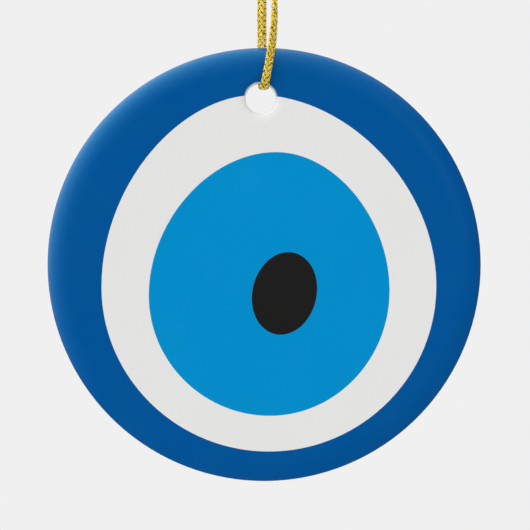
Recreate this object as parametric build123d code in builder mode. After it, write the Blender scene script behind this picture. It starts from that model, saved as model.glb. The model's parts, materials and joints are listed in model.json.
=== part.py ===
"""Evil eye ornament: a glazed porcelain disc with a dyed coat on its face, on a loop of metallic cord.

Lengths are in millimetres. +Z is up and the decorated face looks along -Y. The origin is the point under
the knot where a wire hook carries the ornament, so the disc hangs below it.
"""

from build123d import *
from math import pi, radians, tan
import os

os.makedirs("parts", exist_ok=True)

# ---- the disc ----
disc_diameter = 73.0
disc_thickness = 3.5
face_roll_width = 4.0  # how far in from the rim the face starts to roll back
face_roll_depth = 2.0
back_edge_radius = 1.2
hole_radius = 2.53
lip_width = 1.5  # how far round the hole the face rolls in
lip_depth = 0.75
back_lip_radius = 0.45
hole_right = -0.6  # hole centre, from the disc's centre
hole_up = 27.95
coat_thickness = 0.1  # dyed polymer coat over the face and the rolled rim
coat_hole_radius = 2.68  # the coat ends part way down the hole's lip

# ---- the cord, and where the disc hangs ----
cord_diameter = 1.3
disc_right = -0.66  # disc centre, from the hook point
disc_drop = 66.5
strand_side = 1.05  # each strand leaves the knot this far to one side
strand_clearance = 0.12  # between cord and the disc's face and back
bight_clearance = 0.2  # between cord and the top of the hole
bend_height = -27.0  # just above the rim, where the strands clear the disc's thickness
lean_height = -33.2  # half way down to the hole, where the front strand leans a little more

# ---- the knot and its tails ----
knot_width = 5.0
knot_height = 5.6
knot_rounding = 2.2
knot_clearance = 0.25  # the knot's underside, above the hook point
tail_start = 4.6

# ---- where the cord bends and twists ----
ball_radius = 1.9  # the cord is parted on a ball of this radius at each bending point
ball_gap = 0.05
swing_drop = -6.0
twist_drop = -18.0

# ---- the eye on the face, from the disc's centre ----
# An egg has a top, right, bottom and left point, and how full the curves between them are.
white_egg = {
    "top": (-1.2, 28.5),
    "right": (28.95, -3.6),
    "bottom": (0.8, -31.45),
    "left": (-27.35, -3.8),
    "fullness": {"top": 0.50, "upper_side": 0.53, "lower_side": 0.55, "bottom": 0.55},
}
iris_egg = {
    "top": (2.0, 18.9),
    "right": (21.1, -4.4),
    "bottom": (0.95, -25.45),
    "left": (-19.4, -5.2),
    "fullness": {"top": 0.52, "upper_side": 0.52, "lower_side": 0.55, "bottom": 0.55},
}
pupil_centre = (3.42, -4.87)
pupil_length = 14.05
pupil_width = 10.8
pupil_lean = 76.5  # degrees from level to the long axis

# ---- worked out from these ----
disc_radius = disc_diameter / 2
half_thickness = disc_thickness / 2
roll_start = disc_radius - face_roll_width
roll_end = face_roll_depth - half_thickness
cord_radius = cord_diameter / 2
disc_centre = Vector(disc_right, 0, -disc_drop)
disc_axis = Axis(disc_centre, (0, 1, 0))
hole_centre = disc_centre + Vector(hole_right, 0, hole_up)
hole_axis = Axis(hole_centre, (0, 1, 0))
hole_plane = Plane(hole_centre, x_dir=(1, 0, 0), z_dir=(0, 0, 1))
lip_radius = hole_radius + lip_width
lip_end = lip_depth - half_thickness
section_plane = Plane(disc_centre, x_dir=(1, 0, 0), z_dir=(0, 0, 1))
face_plane = Plane(disc_centre, x_dir=(1, 0, 0), z_dir=(0, -1, 0))
hook_point = Vector(0, 0, 0)
swing_point = Vector(0, 0, swing_drop)

# The cord's route, from the knot down the front strand, through the hole and up the back strand.
strand_out = half_thickness + strand_clearance + cord_radius
bight_height = hole_up + hole_radius - disc_drop - bight_clearance - cord_radius
route = [
    (strand_side, 0, 0),
    (1.13, -strand_out, bend_height),
    (0.12, -strand_out, lean_height),
    (-0.60, -strand_out, bight_height),
    (-0.70, 0, bight_height),
    (-0.92, strand_out, bight_height),
    (-0.97, strand_out, lean_height),
    (-0.99, strand_out, bend_height),
    (-strand_side, 0, 0),
]
tail_routes = {
    "left": [(-0.8, 0.1, tail_start), (-1.0, 0.4, 7.2), (-2.2, 0.8, 9.8), (-2.9, 0.6, 12.6)],
    "right": [(0.8, -0.1, tail_start), (1.1, -0.5, 6.8), (2.3, -0.9, 8.8), (3.4, -0.8, 10.8)],
}


def egg_outline(egg):
    """Closed outline of four curves, level at the egg's top and bottom and upright at its sides."""
    fullness = egg["fullness"]
    for level_name, side_name in (("top", "upper_side"), ("bottom", "lower_side")):
        level = egg[level_name]
        for side in (egg["left"], egg["right"]):
            level_handle = (level[0] + (side[0] - level[0]) * fullness[level_name], level[1])
            side_handle = (side[0], side[1] + (level[1] - side[1]) * fullness[side_name])
            Bezier(level, level_handle, side_handle, side)


def rolled_front(inset):
    """Half section of the disc's front, from its axis round the rolled rim, moved in by inset."""
    face = inset - half_thickness
    Line((0, face), (roll_start, face))
    EllipticalCenterArc(
        (roll_start, roll_end),
        face_roll_width - inset,
        face_roll_depth - inset,
        start_angle=270,
        arc_size=90,
    )


def rolled_lip(inset):
    """Quarter of the hole's front lip, from its wall out to the face, moved in by inset."""
    EllipticalCenterArc(
        (lip_radius, lip_end),
        lip_width - inset,
        lip_depth - inset,
        start_angle=180,
        arc_size=90,
    )


def corner_radii(points):
    """0.45 of the shorter run beside each corner, over the tangent of half its turn."""
    radii = []
    for before, corner, after in zip(points, points[1:], points[2:]):
        run_in = Vector(*corner) - Vector(*before)
        run_out = Vector(*after) - Vector(*corner)
        shorter = min(run_in.length, run_out.length)
        radii.append(0.45 * shorter / tan(radians(run_in.get_angle(run_out) / 2)))
    return radii


def save(piece, name):
    """Labels a finished piece and writes its STEP file."""
    piece.part.label = name
    export_step(piece.part, f"parts/{name}.step")


# ---- the glazed disc with its coat on: flat face, rolled rim, round back edge, and the hole ----
with BuildPart() as whole_disc:
    with BuildSketch(section_plane):
        with BuildLine():
            rolled_front(0)
            Line((disc_radius, roll_end), (disc_radius, half_thickness - back_edge_radius))
            RadiusArc(
                (disc_radius, half_thickness - back_edge_radius),
                (disc_radius - back_edge_radius, half_thickness),
                -back_edge_radius,
            )
            Polyline(
                (disc_radius - back_edge_radius, half_thickness),
                (0, half_thickness),
                (0, -half_thickness),
            )
        make_face()
    revolve(axis=disc_axis)
    with BuildSketch(hole_plane):
        with BuildLine():
            Polyline((lip_radius, -half_thickness), (lip_radius, -disc_thickness), (0, -disc_thickness))
            Polyline((0, -disc_thickness), (0, disc_thickness), (hole_radius, disc_thickness))
            Line((hole_radius, disc_thickness), (hole_radius, lip_end))
            rolled_lip(0)
        make_face()
    revolve(axis=hole_axis, mode=Mode.SUBTRACT)
    back_rims = whole_disc.edges().filter_by(GeomType.CIRCLE).sort_by(Axis.Y)
    hole_rims = back_rims.filter_by(lambda edge: abs(edge.radius - hole_radius) < 0.01)
    fillet(hole_rims.last, back_lip_radius)

# ---- the dyed coat: one thin skin over the face, the rolled rim and part of the hole's lip ----
with BuildPart() as coat:
    with BuildSketch(section_plane):
        with BuildLine():
            rolled_front(0)
            Line((disc_radius, roll_end), (disc_radius - coat_thickness, roll_end))
            rolled_front(coat_thickness)
            Line((0, coat_thickness - half_thickness), (0, -half_thickness))
        make_face()
    revolve(axis=disc_axis)
    with BuildSketch(face_plane):
        with Locations((hole_right, hole_up)):
            Circle(lip_radius)
    extrude(amount=disc_thickness, both=True, mode=Mode.SUBTRACT)
    with BuildSketch(hole_plane):
        with BuildLine():
            rolled_lip(0)
            Line((lip_radius, -half_thickness), (lip_radius, coat_thickness - half_thickness))
            rolled_lip(coat_thickness)
            Line((hole_radius + coat_thickness, lip_end), (hole_radius, lip_end))
        make_face()
    revolve(axis=hole_axis)
    with BuildSketch(face_plane):
        with Locations((hole_right, hole_up)):
            Circle(coat_hole_radius)
    extrude(amount=disc_thickness, both=True, mode=Mode.SUBTRACT)

with BuildPart() as porcelain_disc:
    add(whole_disc.part)
    add(coat.part, mode=Mode.SUBTRACT)
save(porcelain_disc, "porcelain_disc")

# ---- the coat's four colours lie side by side ----
with BuildPart() as navy_coat:
    add(coat.part)
    with BuildSketch(face_plane):
        with BuildLine():
            egg_outline(white_egg)
        make_face()
    extrude(amount=disc_thickness, both=True, mode=Mode.SUBTRACT)
save(navy_coat, "navy_coat")

with BuildPart() as white_coat:
    add(coat.part)
    with BuildSketch(face_plane):
        with BuildLine():
            egg_outline(white_egg)
        make_face()
        with BuildLine():
            egg_outline(iris_egg)
        make_face(mode=Mode.SUBTRACT)
    extrude(amount=disc_thickness, both=True, mode=Mode.INTERSECT)
save(white_coat, "white_coat")

with BuildPart() as light_blue_coat:
    add(coat.part)
    with BuildSketch(face_plane):
        with BuildLine():
            egg_outline(iris_egg)
        make_face()
        with Locations(pupil_centre):
            Ellipse(pupil_length / 2, pupil_width / 2, rotation=pupil_lean, mode=Mode.SUBTRACT)
    extrude(amount=disc_thickness, both=True, mode=Mode.INTERSECT)
save(light_blue_coat, "light_blue_coat")

with BuildPart() as black_coat:
    add(coat.part)
    with BuildSketch(face_plane):
        with Locations(pupil_centre):
            Ellipse(pupil_length / 2, pupil_width / 2, rotation=pupil_lean)
    extrude(amount=disc_thickness, both=True, mode=Mode.INTERSECT)
save(black_coat, "black_coat")

# ---- space below each bending point and outside its ball, which the cord above it stays out of ----
with BuildPart(Plane(hook_point)) as below_hook:
    Cylinder(knot_width, knot_width, align=(Align.CENTER, Align.CENTER, Align.MAX))
    Sphere(ball_radius - ball_gap, mode=Mode.SUBTRACT)

with BuildPart(Plane(swing_point)) as below_swing:
    Cylinder(knot_width, knot_width, align=(Align.CENTER, Align.CENTER, Align.MAX))
    Sphere(ball_radius - ball_gap, mode=Mode.SUBTRACT)

# ---- knot: its outer shape, with the stubs of the two strands that come out under it ----
with BuildPart() as cord_knot:
    with Locations((0, 0, knot_clearance)):
        Cylinder(knot_width / 2, knot_height, align=(Align.CENTER, Align.CENTER, Align.MIN))
    fillet(cord_knot.edges().filter_by(GeomType.CIRCLE), knot_rounding)
    with BuildSketch(Plane.XY.offset(knot_clearance + knot_height / 2)):
        with GridLocations(2 * strand_side, 0, 2, 1):
            Circle(cord_radius)
    extrude(amount=-knot_height)
    add(below_hook.part, mode=Mode.SUBTRACT)
save(cord_knot, "cord_knot")

# ---- the two cut tails above the knot ----
for side, tail_route in tail_routes.items():
    with BuildPart() as tail:
        with BuildLine() as tail_path:
            FilletPolyline(*tail_route, radius=corner_radii(tail_route))
        with BuildSketch(Plane(tail_path.line @ 0, z_dir=tail_path.line % 0)):
            Circle(cord_radius)
        sweep()
        add(cord_knot.part, mode=Mode.SUBTRACT)
    print(side, "tail radii:", [round(radius, 2) for radius in corner_radii(tail_route)])
    save(tail, f"cord_tail_{side}")

# ---- the taut strands: a short eye either side of the hook, then the drop to where they twist ----
for side, top, bend in (("front", route[0], route[1]), ("back", route[-1], route[-2])):
    strand_plane = Plane(Vector(*top), z_dir=Vector(*bend) - Vector(*top))
    with BuildPart() as eye:
        with BuildSketch(strand_plane):
            Circle(cord_radius)
        extrude(amount=2 * ball_radius - swing_drop)
        with Locations(hook_point):
            Sphere(ball_radius, mode=Mode.SUBTRACT)
        split(bisect_by=Plane(hook_point), keep=Keep.BOTTOM)
        add(below_swing.part, mode=Mode.SUBTRACT)
    save(eye, f"cord_eye_{side}")

    with BuildPart() as drop:
        with BuildSketch(strand_plane):
            Circle(cord_radius)
        extrude(amount=-bend_height)
        split(bisect_by=Plane(swing_point), keep=Keep.BOTTOM)
        with Locations(swing_point):
            Sphere(ball_radius, mode=Mode.SUBTRACT)
        split(bisect_by=Plane.XY.offset(twist_drop), keep=Keep.TOP)
    save(drop, f"cord_drop_{side}")

# ---- the bight: down the front, through the hole under its top lip, and up the back ----
with BuildPart() as cord_bight:
    with BuildLine() as loop_path:
        FilletPolyline(*route, radius=corner_radii(route))
    with BuildSketch(Plane(loop_path.line @ 0, z_dir=loop_path.line % 0)):
        Circle(cord_radius)
    sweep()
    loop_volume = cord_bight.part.volume
    split(bisect_by=Plane.XY.offset(twist_drop), keep=Keep.BOTTOM)
save(cord_bight, "cord_bight")

loop_length = loop_path.wire().length
print("loop radii:", [round(radius, 2) for radius in corner_radii(route)])
print("loop length:", round(loop_length, 2))
print("loop volume:", round(loop_volume, 2))
print("its section x length:", round(loop_length * pi * cord_radius**2, 2))
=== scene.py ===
"""Evil eye ornament: glazed porcelain disc with a dyed face, on a knotted loop of braided metallic cord."""

import json
import math

import bpy
import numpy as np
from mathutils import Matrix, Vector


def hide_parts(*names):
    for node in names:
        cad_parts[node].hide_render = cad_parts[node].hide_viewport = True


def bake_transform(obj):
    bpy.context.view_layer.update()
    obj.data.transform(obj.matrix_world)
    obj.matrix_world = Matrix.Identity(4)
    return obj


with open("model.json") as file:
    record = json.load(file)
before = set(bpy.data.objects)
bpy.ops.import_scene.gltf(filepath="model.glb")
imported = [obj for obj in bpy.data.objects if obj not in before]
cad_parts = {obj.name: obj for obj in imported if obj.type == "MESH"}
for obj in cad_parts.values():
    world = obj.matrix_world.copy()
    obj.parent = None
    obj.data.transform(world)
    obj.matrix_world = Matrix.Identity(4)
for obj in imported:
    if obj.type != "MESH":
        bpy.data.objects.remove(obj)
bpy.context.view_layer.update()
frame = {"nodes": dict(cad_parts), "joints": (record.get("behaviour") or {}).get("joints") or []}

MM = 0.001
HOLE_RIGHT, HOLE_UP = -0.6 * MM, 27.95 * MM     # the hole's centre, from the disc's centre

# The disc rocks on the cord about its hole's axis, so that joint stands at the hole's centre.
rock = next(joint for joint in frame["joints"] if joint["name"] == "rock")
hole_centre = np.array(rock["pos_m"], float)
disc_centre = hole_centre - (HOLE_RIGHT, 0.0, HOLE_UP)

# ---------------------------------------------------------------- camera
VIEW_WIDTH = 89.30 * MM      # what the picture spans at the disc
VIEW_RIGHT = 0.145 * MM      # the picture's centre, from the disc's centre
VIEW_DOWN = 0.090 * MM
CAMERA_DISTANCE = 0.9
CAMERA_SENSOR = 36.0
CAMERA_CLIP = (0.05, 10.0)

camera_data = bpy.data.cameras.new("camera")
camera_data.sensor_width = CAMERA_SENSOR
camera_data.lens = CAMERA_SENSOR * CAMERA_DISTANCE / VIEW_WIDTH
camera_data.clip_start, camera_data.clip_end = CAMERA_CLIP
camera = bpy.data.objects.new("camera", camera_data)
bpy.context.scene.collection.objects.link(camera)
camera.location = (disc_centre[0] + VIEW_RIGHT, -CAMERA_DISTANCE, disc_centre[2] - VIEW_DOWN)
camera.rotation_euler = (math.radians(90), 0, 0)
bpy.context.scene.camera = camera
bpy.context.scene.view_settings.view_transform = "Standard"

# ---------------------------------------------------------------- the cord's control points
# The cord is an oval braid. Each row is a point that pulls the spline, the way the oval's flat face looks
# there, and the oval's half width and half thickness. These lengths are in millimetres.
ROUND = (0.68, 0.5)
THIN = (0.80, 0.45)
FLAT = (0.80, 0.48)
BROAD = (0.92, 0.54)
TURNING = (0.86, 0.50)
LEANING = (0.75, 0.46)
FOLDED = (0.86, 0.36)
PACKED = (0.63, 0.48)

HOOK_HEIGHT = 0.0
BIGHT = -36.70               # height of the fold through the hole
STRAND_OUT = 2.52            # each strand's middle, from the middle of the disc's thickness
route = [
    ((1.05, 0.0, HOOK_HEIGHT), (0.3, -1.0, 0.0), ROUND),
    ((1.12, -1.93, -20.7), (1.0, -0.1, 0.0), THIN),
    ((1.03, -STRAND_OUT, -27.2), (0.8, -0.8, 0.0), TURNING),
    ((0.05, -STRAND_OUT, -33.2), (0.0, -1.0, 0.0), LEANING),
    ((-0.60, -STRAND_OUT, BIGHT), (0.0, -1.0, -0.8), FOLDED),
    ((-0.70, 0.0, BIGHT), (0.0, 0.0, -1.0), FOLDED),
    ((-0.92, STRAND_OUT, BIGHT), (0.0, 1.0, -0.8), FOLDED),
    ((-1.01, STRAND_OUT, -33.2), (0.0, 1.0, 0.0), FLAT),
    ((-1.05, STRAND_OUT, -27.0), (0.5, 0.85, 0.0), BROAD),
    ((-1.04, 1.93, -20.7), (0.55, 0.85, 0.0), BROAD),
    ((-1.05, 0.0, HOOK_HEIGHT), (-0.3, 1.0, 0.0), ROUND),
]


def turned(radius, degrees, height):
    """A point round the knot's upright axis."""
    angle = math.radians(degrees)
    return (radius * math.cos(angle), radius * math.sin(angle), height)


def wound(degrees, height):
    """Knot row where the pair winds round the outside, one strand above the other."""
    return (turned(2.0, degrees, height), (0.0, 0.0, -0.62), turned(1, degrees, 0))


# The knot is one overhand knot in both strands together. Each row is the pair's middle, the way from it
# to the front strand, and the way the flat faces look.
knot = [
    ((-0.15, 0.0, 1.2), (0.62, -0.35, 0.0), (0.3, -1.0, 0.0)),
    ((-0.55, 0.0, 2.3), (0.10, -0.60, 0.0), (-1.0, -0.3, 0.0)),
    ((-0.50, 0.3, 3.6), (0.00, -0.50, -0.25), (-1.0, 0.4, 0.3)),
    (turned(1.5, 75, 4.5), (0.0, -0.15, -0.58), (-0.2, 1.0, 0.4)),
    wound(25, 4.25),
    wound(-30, 3.85),
    wound(-85, 3.4),
    wound(-140, 2.95),
    wound(165, 2.5),
    wound(115, 2.0),
    (turned(1.7, 70, 1.6), (0.0, 0.0, -0.60), turned(1, 70, 0)),
    ((0.90, 0.4, 1.9), (0.35, -0.35, -0.30), (1.0, 0.4, -0.4)),
    ((0.55, 0.0, 3.0), (0.10, -0.60, 0.0), (1.0, 0.1, 0.0)),
    ((0.40, 0.0, 4.6), (0.35, -0.50, 0.0), (0.6, -0.8, 0.0)),
    ((0.00, 0.0, 6.0), (0.75, -0.15, 0.0), (0.2, -1.0, 0.0)),
]
front_tail = [
    ((1.2, -0.4, 7.3), (0.1, -1.0, 0.2), ROUND),
    ((2.3, -0.9, 9.0), (-0.3, -1.0, 0.3), ROUND),
    ((3.4, -0.8, 10.8), (-0.5, -1.0, 0.3), ROUND),
]
back_tail = [
    ((-1.0, 0.4, 7.4), (0.2, -1.0, 0.1), ROUND),
    ((-2.2, 0.8, 9.8), (0.5, -1.0, 0.3), ROUND),
    ((-2.9, 0.6, 12.4), (0.6, -1.0, 0.2), ROUND),
]


def through_knot(strand):
    """Rows up through the knot for the front strand, 1, or the back one, -1."""
    rows = []
    for middle, across, facing in knot:
        place = tuple(m + strand * a for m, a in zip(middle, across))
        rows.append((place, facing, PACKED))
    return rows


rows = front_tail[::-1] + through_knot(1)[::-1] + route + through_knot(-1) + back_tail

# ---------------------------------------------------------------- the cord's line
SPLINE_STEPS = 48
RING_STEP = 0.12 * MM        # between the rings that the meshes are made of
LINE_SMOOTHING = 2           # rings either side
OVAL_SMOOTHING = 8


def spline_line(points):
    """Points of the NURBS spline that these control points pull, in metres."""
    curve = bpy.data.curves.new("cord_line", "CURVE")
    curve.dimensions = "3D"
    spline = curve.splines.new("NURBS")
    spline.points.add(len(points) - 1)
    for point, place in zip(spline.points, points):
        point.co = (*(x * MM for x in place), 1)
    spline.order_u = 3
    spline.use_endpoint_u = True
    spline.resolution_u = SPLINE_STEPS
    holder = bpy.data.objects.new("cord_line", curve)
    mesh = bpy.data.meshes.new_from_object(holder)
    line = np.array([v.co for v in mesh.vertices], float)
    bpy.data.meshes.remove(mesh)
    bpy.data.curves.remove(curve)
    return line


def unit(vectors):
    return vectors / np.linalg.norm(vectors, axis=-1, keepdims=True)


def square_to(vectors, ways):
    """The part of each vector square to the unit way beside it, one long."""
    return unit(vectors - (vectors * ways).sum(1)[:, None] * ways)


def smoothed(values, reach):
    """Weighted moving average along the first axis, reach steps either side."""
    kernel = np.hanning(2 * reach + 3)[1:-1]
    kernel /= kernel.sum()
    before, after = np.repeat(values[:1], reach, 0), np.repeat(values[-1:], reach, 0)
    padded = np.concatenate([before, values, after])
    columns = [np.convolve(padded[:, k], kernel, "valid") for k in range(values.shape[1])]
    return np.stack(columns, axis=1)


def interpolated(at, known_at, values):
    """Each column of values, read at other places."""
    columns = [np.interp(at, known_at, values[:, k]) for k in range(values.shape[1])]
    return np.stack(columns, axis=1)


raw = spline_line([row[0] for row in rows])
raw_along = np.concatenate([[0], np.cumsum(np.linalg.norm(np.diff(raw, axis=0), axis=1))])
ring_count = int(raw_along[-1] / RING_STEP) + 1
along = np.linspace(0, raw_along[-1], ring_count)
line = smoothed(interpolated(along, raw_along, raw), LINE_SMOOTHING)
tangent = unit(np.gradient(line, axis=0))

# A control point pulls hardest in the middle of its own span of the spline.
spans = len(rows) - 2
pull = np.array([0.0] + [i - 0.5 for i in range(1, len(rows) - 1)] + [float(spans)])
span_at = np.interp(along, raw_along, np.linspace(0, spans, len(raw)))
facing = unit(np.array([row[1] for row in rows], float))
facing = smoothed(interpolated(span_at, pull, facing), OVAL_SMOOTHING)
sizes = np.array([row[2] for row in rows], float) * MM
half_width, half_thickness = smoothed(interpolated(span_at, pull, sizes), OVAL_SMOOTHING).T
normal = square_to(facing, tangent)
side = np.cross(tangent, normal)

# ---------------------------------------------------------------- the braid
YARNS_EACH_WAY = 4
LEAD = 4.2 * MM              # along the cord for one turn of a yarn
RISE = 0.09 * MM             # a yarn lies this far out where it passes over, and in where it passes under
STEEPNESS = 1.5              # of the yarn's step from over to under
YARN_THICK = 0.15 * MM       # half
COVERAGE = 0.70              # of its share of the outline that a yarn covers, at least
COVERAGE_SPREAD = 0.10
EDGE_CROWDING = 0.28         # wider still by this share where it turns round the oval's narrow ends
UNEVENNESS = 0.018           # of a turn that a yarn strays
UNEVEN_STEP = 1.5 * MM
FRAY = 1.2 * MM              # from a cut end, where the yarns spread
FRAY_SPREAD = 0.45
CORE_WIDTH, CORE_THICKNESS = 0.92, 0.85
CORE_SIDES = 16
OUTLINE_STEPS = 128          # that an oval's outline is measured in

# A yarn's section is two filaments side by side: across it, and outward from its middle.
yarn_across = np.array([-1, -0.8, -0.5, -0.2, 0, 0.2, 0.5, 0.8, 1, 0.5, -0.5])
yarn_outward = np.array([-0.3, 0.55, 1.0, 0.6, 0.1, 0.6, 1.0, 0.55, -0.3, -0.9, -0.9])
YARN_TOP_SIDES = 8           # of the section's sides are on its outer face
ellipse_steps = 2 * np.pi * np.linspace(0, 1, OUTLINE_STEPS + 1)
random = np.random.default_rng(7)


def ellipse_angles(turn, a, b):
    """Angle on each ring's ellipse at that share of its outline, and how long the outline is."""
    speed = np.hypot(a[:, None] * np.sin(ellipse_steps), b[:, None] * np.cos(ellipse_steps))
    steps = np.cumsum((speed[:, 1:] + speed[:, :-1]) / 2, axis=1)
    walked = np.concatenate([np.zeros((len(a), 1)), steps], axis=1)
    outline = walked[:, -1] * (ellipse_steps[1] - ellipse_steps[0])
    walked /= walked[:, -1:]
    share = turn - np.floor(turn)
    angles = np.array([np.interp(s, w, ellipse_steps) for s, w in zip(share, walked)])
    return angles, outline


def frayed(distance):
    """How much wider the braid is at this distance from a cut end."""
    return FRAY_SPREAD * np.clip(1 - distance / FRAY, 0, 1) ** 1.5


fray = 1 + frayed(along) + frayed(along[-1] - along)
a = (half_width - RISE - YARN_THICK) * fray
b = (half_thickness - RISE - YARN_THICK) * fray
stray_at = np.arange(0, along[-1] + 2 * MM, UNEVEN_STEP)
yarns = []
for way in (1, -1):
    for k in range(YARNS_EACH_WAY):
        start = k / YARNS_EACH_WAY + (0.5 / YARNS_EACH_WAY if way < 0 else 0)
        turn = start + way * along / LEAD
        turn = turn + UNEVENNESS * np.interp(along, stray_at, random.normal(size=len(stray_at)))
        angle, outline = ellipse_angles(turn, a, b)
        wave = np.sin(YARNS_EACH_WAY * np.pi * turn)    # over two yarns, then under two
        lift = way * RISE * np.clip(STEEPNESS * wave, -1, 1)
        lift = smoothed(lift[:, None], LINE_SMOOTHING)[:, 0]
        out_way = unit((np.cos(angle) / a)[:, None] * side + (np.sin(angle) / b)[:, None] * normal)
        centre = line + (a * np.cos(angle))[:, None] * side + (b * np.sin(angle))[:, None] * normal
        centre = centre + lift[:, None] * out_way
        yarn_way = unit(np.gradient(centre, axis=0))
        out_way = square_to(out_way, yarn_way)
        yarn_side = np.cross(yarn_way, out_way)
        steep = np.cos(np.arctan(outline / LEAD))
        coverage = COVERAGE + COVERAGE_SPREAD * random.random()
        wide = outline / YARNS_EACH_WAY * steep / 2 * coverage
        wide = wide * (1 + EDGE_CROWDING * np.cos(angle) ** 4)
        yarns.append(
            centre[:, None, :]
            + (wide[:, None] * yarn_across[None, :])[:, :, None] * yarn_side[:, None, :]
            + (YARN_THICK * yarn_outward)[None, :, None] * out_way[:, None, :]
        )

core_angles = np.linspace(0, 2 * np.pi, CORE_SIDES, endpoint=False)
core = (
    line[:, None, :]
    + ((a * CORE_WIDTH)[:, None] * np.cos(core_angles))[:, :, None] * side[:, None, :]
    + ((b * CORE_THICKNESS)[:, None] * np.sin(core_angles))[:, :, None] * normal[:, None, :]
)


def tube_mesh(name, tubes, first, last, cap_first, cap_last, materials):
    """One mesh of several tubes, each from ring first to ring last.

    In its UVs, u is the tube's number plus the share of the way round its section, and v is the
    millimetres along it.
    """
    points, faces, face_slots, uvs, start = [], [], [], [], 0
    for number, (tube, slot_index) in enumerate(tubes):
        part = tube[first:last + 1]
        rings, count = part.shape[:2]
        points.append(part.reshape(-1, 3))
        index = start + np.arange(rings * count).reshape(rings, count)
        after = np.roll(index, -1, axis=1)
        quads = np.stack([index[:-1], after[:-1], after[1:], index[1:]], axis=-1).reshape(-1, 4)
        faces += quads.tolist()
        u = number + np.arange(count) / count
        v = along[first:last + 1] / MM
        uv = np.zeros((rings - 1, count, 4, 2))
        uv[..., 0, 0] = uv[..., 3, 0] = u
        uv[..., 1, 0] = uv[..., 2, 0] = u + 1 / count
        uv[..., 0, 1] = uv[..., 1, 1] = v[:-1, None]
        uv[..., 2, 1] = uv[..., 3, 1] = v[1:, None]
        uvs.append(uv.reshape(-1, 2))
        if cap_first:
            faces.append(index[0][::-1].tolist())
            uvs.append(np.zeros((count, 2)))
        if cap_last:
            faces.append(index[-1].tolist())
            uvs.append(np.zeros((count, 2)))
        face_slots += [slot_index] * (len(quads) + cap_first + cap_last)
        start += rings * count
    mesh = bpy.data.meshes.new(name)
    mesh.from_pydata(np.concatenate(points).tolist(), [], faces)
    mesh.polygons.foreach_set("use_smooth", [True] * len(mesh.polygons))
    mesh.polygons.foreach_set("material_index", face_slots)
    layer = mesh.uv_layers.new(name="weave")
    layer.data.foreach_set("uv", np.concatenate(uvs).ravel())
    for m in materials:
        mesh.materials.append(m)
    mesh.update()
    made = bpy.data.objects.new(name, mesh)
    bpy.context.scene.collection.objects.link(made)
    return made


# ---------------------------------------------------------------- shader nodes
def give(tree, socket, value):
    """Links a socket to another node's, or sets its value."""
    if isinstance(value, bpy.types.NodeSocket):
        tree.links.new(value, socket)
    else:
        socket.default_value = value


def node(tree, kind, values=(), **properties):
    """A node with its inputs given by position, where they aren't None, and its properties by name."""
    made = tree.nodes.new(kind)
    for name, value in properties.items():
        setattr(made, name, value)
    for i, value in enumerate(values):
        if value is not None:
            give(tree, made.inputs[i], value)
    return made


def maths(tree, operation, *values):
    return node(tree, "ShaderNodeMath", values, operation=operation).outputs[0]


def vector_maths(tree, operation, *values):
    """The node's outputs: "Vector", and "Value" for a dot product or a length."""
    return node(tree, "ShaderNodeVectorMath", values, operation=operation).outputs


def dot(tree, vector, direction):
    return vector_maths(tree, "DOT_PRODUCT", vector, direction)["Value"]


def ranged(tree, value, low, high, to_low, to_high, kind="LINEAR"):
    """A value from low to high, spread over to_low to to_high."""
    values = (value, low, high, to_low, to_high)
    return node(tree, "ShaderNodeMapRange", values, interpolation_type=kind).outputs[0]


def noise(tree, vector, scale, detail=2.0, roughness=0.5):
    return node(tree, "ShaderNodeTexNoise", (vector, None, scale, detail, roughness)).outputs["Fac"]


def bumped(tree, strength, distance, height):
    return node(tree, "ShaderNodeBump", (strength, distance, None, height)).outputs[0]


def mixed(tree, share, first, second):
    """Colour between two colours or colour sockets."""
    made = node(tree, "ShaderNodeMix", data_type="RGBA")
    sockets = {socket.identifier: socket for socket in made.inputs}
    give(tree, sockets["Factor_Float"], share)
    for name, colour in (("A_Color", first), ("B_Color", second)):
        give(tree, sockets[name], (*colour, 1) if isinstance(colour, tuple) else colour)
    return [socket for socket in made.outputs if socket.identifier == "Result_Color"][0]


def principled(name):
    """A new material, its node tree and its shader."""
    m = bpy.data.materials.new(name)
    m.use_nodes = True
    return m, m.node_tree, m.node_tree.nodes["Principled BSDF"]


def give_all(tree, shader, values):
    for name, value in values.items():
        give(tree, shader.inputs[name], value)


# ---------------------------------------------------------------- the cord's looks
GOLD_PAINTED_SHADE = (0.11, 0.055, 0.0)      # painted shade down the sides of a filament, in the crevices between filaments
GOLD_FLECKS_AND_GLINTS = (                      # colours along a filament, each with its place in the noise: tone that varies at random, and painted glints at the pale end
    (0.36, (0.36, 0.20, 0.0)),
    (0.43, (1.0, 0.65, 0.02)),
    (0.54, (1.0, 0.80, 0.11)),
    (0.61, (1.0, 0.94, 0.55)),
)
GOLD_TINT = (1.0, 0.76, 0.1, 1)
FLECK_AND_GLINT_SCALE = (2.3, 2.6, 0.0)        # flecks and painted glints across a yarn, and to a millimetre along it
SPARKLE_SCALE = 3.1
# The core shows only through the gaps between the yarns, and its dark colour is painted shade there.
CORE_PAINTED_SHADE = (0.11, 0.07, 0.001, 1)

gold, gold_tree, gold_shader = principled("gold_yarn")
weave = node(gold_tree, "ShaderNodeUVMap", uv_map="weave").outputs[0]
across_yarn = maths(gold_tree, "FRACT", node(gold_tree, "ShaderNodeSeparateXYZ", (weave,)).outputs[0])
across_top = maths(gold_tree, "MULTIPLY", across_yarn, len(yarn_across) / YARN_TOP_SIDES)
across_top = maths(gold_tree, "MINIMUM", across_top, 1.0)
ridges = maths(gold_tree, "SINE", maths(gold_tree, "MULTIPLY", across_top, 2 * math.pi))
crest = maths(gold_tree, "POWER", ridges, 2.0)
fine = vector_maths(gold_tree, "MULTIPLY", weave, FLECK_AND_GLINT_SCALE)["Vector"]
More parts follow.
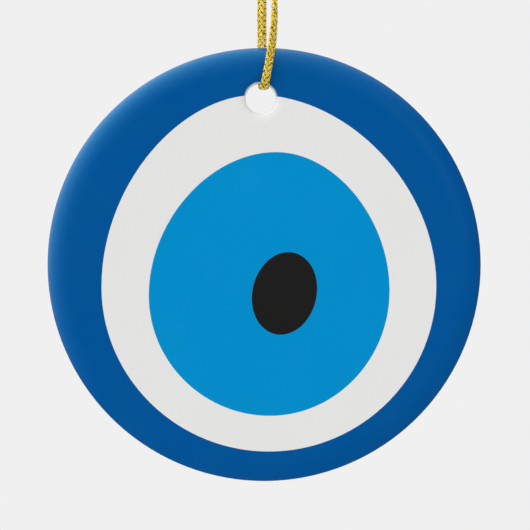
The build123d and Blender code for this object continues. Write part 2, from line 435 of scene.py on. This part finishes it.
# Flecks along each filament: tone that varies at random, with painted glints where the noise is highest.
fleck_and_glint = noise(gold_tree, fine, 1.0, 2.0, 0.6)
ramp = node(gold_tree, "ShaderNodeValToRGB", (fleck_and_glint,))
stops = ramp.color_ramp.elements
stops.remove(stops[1])
stops[0].position = GOLD_FLECKS_AND_GLINTS[0][0]
stops[0].color = (*GOLD_FLECKS_AND_GLINTS[0][1], 1)
for place, colour in GOLD_FLECKS_AND_GLINTS[1:]:
    stops.new(place).color = (*colour, 1)
# Painted shade: a filament's colour darkens towards GOLD_PAINTED_SHADE down its sides, away from its crest,
# and its reflection weakens there too.
painted_light_share = ranged(gold_tree, crest, 0.0, 0.5, 0.25, 1.0)
sparkle = noise(gold_tree, weave, SPARKLE_SCALE)
give_all(gold_tree, gold_shader, {
    "Base Color": mixed(gold_tree, painted_light_share, GOLD_PAINTED_SHADE, ramp.outputs[0]),
    "Metallic": ranged(gold_tree, sparkle, 0.53, 0.62, 0.0, 0.75),
    "Roughness": ranged(gold_tree, fleck_and_glint, 0.3, 0.7, 0.5, 0.22),
    "IOR": 1.6,
    "Specular IOR Level": ranged(gold_tree, crest, 0.0, 0.5, 0.1, 0.5),
    "Specular Tint": GOLD_TINT,
    "Normal": bumped(gold_tree, 0.6, 0.04 * MM, fleck_and_glint),
})

# Painted shade: the core is dark so that the gaps between the yarns look shaded.
core_shade_look, core_tree, core_shader = principled("cord_core_painted_shade")
give_all(core_tree, core_shader, {
    "Base Color": CORE_PAINTED_SHADE,
    "Roughness": 0.7,
    "Specular IOR Level": 0.1,
})

# ---------------------------------------------------------------- the cord's pieces
EYE_CUT, DROP_CUT = -3.5, -9.0       # heights where the cord is parted, in millimetres
tubes = [(yarn, 0) for yarn in yarns] + [(core, 1)]
cord_looks = [gold, core_shade_look]


def ring_at(height, after, before):
    """Index of the ring whose centre is nearest this height, between two rings."""
    return after + int(np.abs(line[after:before, 2] - height * MM).argmin())


fold = int(line[:, 2].argmin())
under_knot_front = int(np.flatnonzero(line[:fold, 2] > HOOK_HEIGHT * MM)[-1])
under_knot_back = fold + int(np.flatnonzero(line[fold:, 2] > HOOK_HEIGHT * MM)[0])
cut = [
    0,
    ring_at(EYE_CUT, under_knot_front, fold),
    ring_at(DROP_CUT, under_knot_front, fold),
    ring_at(DROP_CUT, fold, under_knot_back),
    ring_at(EYE_CUT, fold, under_knot_back),
    ring_count - 1,
]
knot_front = tube_mesh("braid_knot_front", tubes, cut[0], cut[1], True, False, cord_looks)
bend_front = tube_mesh("braid_bend_front", tubes, cut[1], cut[2], False, False, cord_looks)
loop = tube_mesh("braid_loop", tubes, cut[2], cut[3], False, False, cord_looks)
bend_back = tube_mesh("braid_bend_back", tubes, cut[3], cut[4], False, False, cord_looks)
knot_back = tube_mesh("braid_knot_back", tubes, cut[4], cut[5], False, True, cord_looks)


def height(z):
    return (0.0, 0.0, z * MM)


for piece in (knot_front, knot_back):
    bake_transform(piece)
for piece in (bend_front, bend_back):
    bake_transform(piece)
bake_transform(loop)
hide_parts("cord_knot", "cord_tail_right")
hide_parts("cord_knot", "cord_tail_left")
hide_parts("cord_eye_front")
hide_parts("cord_eye_back")
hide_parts("cord_drop_front", "cord_drop_back", "cord_bight")


# ---------------------------------------------------------------- world
# The camera sees a plain pale backdrop. The light is a broad key from the upper left, which reflections
# see brighter, a small lobe to the upper right of the camera, and a faint glow all round. Diffuse light
# also has an even fill, with more from below.
BACKDROP = (0.871, 0.871, 0.871, 1)
KEY_AZIMUTH = math.radians(127)      # in the picture, from right to up
KEY_TOWARD, KEY_FROM_SIDE = 1.4, 0.9         # powers that gather it that way, and off the camera's axis
KEY_DIFFUSE, KEY_GLOSSY = 1.2, 3.0           # its strength in diffuse light and in reflections
GLOW, FILL, FILL_FROM_BELOW = 0.04, 0.59, 0.45
LOBE_TILT, LOBE_AZIMUTH = 0.45, 0.6          # radians, from the camera's side, and from right to up
LOBE_SHARPNESS, LOBE_STRENGTH = 40.0, 0.2

world = bpy.data.worlds.new("studio")
bpy.context.scene.world = world
world.use_nodes = True
wt = world.node_tree
wt.nodes.clear()
direction = node(wt, "ShaderNodeTexCoord").outputs["Generated"]
light_path = node(wt, "ShaderNodeLightPath")
diffuse_ray = light_path.outputs["Is Diffuse Ray"]
key_way = (math.cos(KEY_AZIMUTH), 0, math.sin(KEY_AZIMUTH))
toward_key = maths(wt, "MAXIMUM", dot(wt, direction, key_way), 0.0)
toward_front = dot(wt, direction, (0, -1, 0))
toward_side = maths(wt, "SUBTRACT", 1.0, maths(wt, "MULTIPLY", toward_front, toward_front))
toward_side = maths(wt, "SQRT", toward_side)
toward_key = maths(wt, "POWER", toward_key, KEY_TOWARD)
toward_side = maths(wt, "POWER", toward_side, KEY_FROM_SIDE)
key_strength = maths(wt, "MULTIPLY_ADD", diffuse_ray, KEY_DIFFUSE - KEY_GLOSSY, KEY_GLOSSY)
key = maths(wt, "MULTIPLY", maths(wt, "MULTIPLY", toward_key, toward_side), key_strength)
below = maths(wt, "MAXIMUM", dot(wt, direction, (0, 0, -1)), 0.0)
fill = maths(wt, "MULTIPLY_ADD", below, FILL_FROM_BELOW, FILL)
ambient = maths(wt, "MULTIPLY_ADD", diffuse_ray, fill, GLOW)
lobe_way = (
    math.sin(LOBE_TILT) * math.cos(LOBE_AZIMUTH),
    -math.cos(LOBE_TILT),
    math.sin(LOBE_TILT) * math.sin(LOBE_AZIMUTH),
)
off_lobe = maths(wt, "SUBTRACT", dot(wt, direction, lobe_way), 1.0)
lobe = maths(wt, "EXPONENT", maths(wt, "MULTIPLY", off_lobe, LOBE_SHARPNESS))
lobe = maths(wt, "MULTIPLY", lobe, LOBE_STRENGTH)
strength = maths(wt, "ADD", maths(wt, "ADD", key, ambient), lobe)
felt = node(wt, "ShaderNodeBackground", ((1, 1, 1, 1), strength)).outputs[0]
seen = node(wt, "ShaderNodeBackground", (BACKDROP, 1.0)).outputs[0]
mix = node(wt, "ShaderNodeMixShader", (light_path.outputs["Is Camera Ray"], felt, seen))
node(wt, "ShaderNodeOutputWorld", (mix.outputs[0],))

# ---------------------------------------------------------------- lamp
LAMP_AZIMUTH = math.radians(100)     # in the picture, from right to up
LAMP_TILT = math.radians(25)         # from the camera's side
LAMP_DISTANCE = 1.2
LAMP_SIDE = 0.8
LAMP_WATTS = 1.0

lamp_away = Vector((
    math.sin(LAMP_TILT) * math.cos(LAMP_AZIMUTH),
    -math.cos(LAMP_TILT),
    math.sin(LAMP_TILT) * math.sin(LAMP_AZIMUTH),
))
lamp_data = bpy.data.lights.new("front", "AREA")
lamp_data.shape = "RECTANGLE"
lamp_data.size = lamp_data.size_y = LAMP_SIDE
lamp_data.energy = LAMP_WATTS
lamp = bpy.data.objects.new("front", lamp_data)
bpy.context.scene.collection.objects.link(lamp)
lamp.location = Vector(disc_centre) + lamp_away * LAMP_DISTANCE
lamp.rotation_euler = lamp_away.to_track_quat("Z", "Y").to_euler()
lamp.visible_glossy = False
lamp.visible_camera = False

# ---------------------------------------------------------------- floor
FLOOR_RADIUS = 0.11
FLOOR_HEIGHT = -0.128
FLOOR_SIDES = 96
PAPER_DARK, PAPER_LIGHT = (0.61, 0.61, 0.61), (0.66, 0.66, 0.66)
FIBRE_SCALE = 900.0

floor_rim = []
for i in range(FLOOR_SIDES):
    angle = i * 2 * math.pi / FLOOR_SIDES
    floor_rim.append((FLOOR_RADIUS * math.cos(angle), FLOOR_RADIUS * math.sin(angle), FLOOR_HEIGHT))
floor_data = bpy.data.meshes.new("floor")
floor_data.from_pydata(floor_rim, [], [list(range(FLOOR_SIDES))])
floor = bpy.data.objects.new("floor", floor_data)
bpy.context.scene.collection.objects.link(floor)
paper, paper_tree, paper_shader = principled("floor_paper")
paper_place = node(paper_tree, "ShaderNodeTexCoord").outputs["Object"]
fibre = noise(paper_tree, paper_place, FIBRE_SCALE, 4.0, 0.6)
give_all(paper_tree, paper_shader, {
    "Base Color": mixed(paper_tree, fibre, PAPER_DARK, PAPER_LIGHT),
    "Roughness": 0.85,
    "Specular IOR Level": 0.2,
    "Normal": bumped(paper_tree, 0.4, 0.04 * MM, fibre),
})
floor_data.materials.append(paper)
floor.visible_glossy = False
floor.visible_diffuse = False

# ---------------------------------------------------------------- the disc's looks
DRIFT_SCALE = 45.0                   # how often the glaze's features come, per metre
SPECK_SCALE = 95.0
WEAR_SCALE = 160.0
RIPPLE_SCALE, FINE_RIPPLE_SCALE = 520.0, 2600.0
RAGGED_SCALE = 1800.0
GRAIN_SCALE = 5200.0
GRAIN_SHADE = 0.94
FINE_RIPPLE = 0.25
RIPPLE_DEPTH = 0.0012 * MM
SPECK_COLOUR = (0.09, 0.07, 0.06)
FADE_START, FADE_END = 2.42 * MM, 3.02 * MM     # from the hole's axis, where the glaze fades into at_hole's colour
RAGGED = 0.16 * MM


def glaze(name, colour, shift, tint, at_hole=None):
    """Glossy glaze: its colour drifts to shift, with fine grain, specks and a faintly rippled surface.

    at_hole is the colour that the glaze fades into round the hole, over a ragged band.
    """
    m, tree, shader = principled(name)
    place = node(tree, "ShaderNodeTexCoord").outputs["Object"]
    drift = ranged(tree, noise(tree, place, DRIFT_SCALE), 0.35, 0.65, 0.0, 1.0)
    base = mixed(tree, drift, colour, shift)
    grain = ranged(tree, noise(tree, place, GRAIN_SCALE, 1.0), 0.3, 0.7, 0.0, 1.0)
    base = mixed(tree, grain, base, tuple(GRAIN_SHADE * c for c in colour))
    from_speck = node(tree, "ShaderNodeTexVoronoi", (place, None, SPECK_SCALE)).outputs["Distance"]
    speck = ranged(tree, from_speck, 0.006, 0.016, 0.55, 0.0)
    base = mixed(tree, speck, base, SPECK_COLOUR)
    if at_hole is not None:
        from_hole = vector_maths(tree, "SUBTRACT", place, tuple(hole_centre))["Vector"]
        from_axis = vector_maths(tree, "MULTIPLY", from_hole, (1, 0, 1))["Vector"]
        radius = vector_maths(tree, "LENGTH", from_axis)["Value"]
        ragged = maths(tree, "MULTIPLY_ADD", noise(tree, place, RAGGED_SCALE), RAGGED, radius)
        cover = ranged(tree, ragged, FADE_START, FADE_END, 0.0, 1.0, kind="SMOOTHSTEP")
        base = mixed(tree, cover, at_hole, base)
    wear = noise(tree, place, WEAR_SCALE, 4.0, 0.6)
    ripple = noise(tree, place, RIPPLE_SCALE, 1.0)
    ripple = maths(tree, "MULTIPLY_ADD", noise(tree, place, FINE_RIPPLE_SCALE), FINE_RIPPLE, ripple)
    give_all(tree, shader, {
        "Base Color": base,
        "Roughness": ranged(tree, wear, 0.3, 0.7, 0.10, 0.19),
        "Specular Tint": (*tint, 1),
        "Normal": bumped(tree, 1.0, RIPPLE_DEPTH, ripple),
    })
    return m


CLEAR = (1.0, 1.0, 1.0)
BLUE_TINT = (0.3, 1.0, 1.0)
HOLE_FADE = (0.84, 0.97, 1.0)
looks = {
    "porcelain_disc": glaze("porcelain", (0.89, 0.89, 0.88), (0.86, 0.86, 0.84), CLEAR),
    "navy_coat": glaze("navy", (0.0, 0.0915, 0.334), (0.0, 0.0865, 0.320), BLUE_TINT, at_hole=HOLE_FADE),
    "white_coat": glaze("white", (0.835, 0.835, 0.820), (0.822, 0.822, 0.806), CLEAR),
    "light_blue_coat": glaze("light_blue", (0.0, 0.282, 0.636), (0.0, 0.270, 0.618), BLUE_TINT),
    "black_coat": glaze("black", (0.0130, 0.0130, 0.0124), (0.0120, 0.0120, 0.0116), CLEAR),
}
for name, look in looks.items():
    ob = frame["nodes"][name]
    ob.data.materials.clear()
    ob.data.materials.append(look)
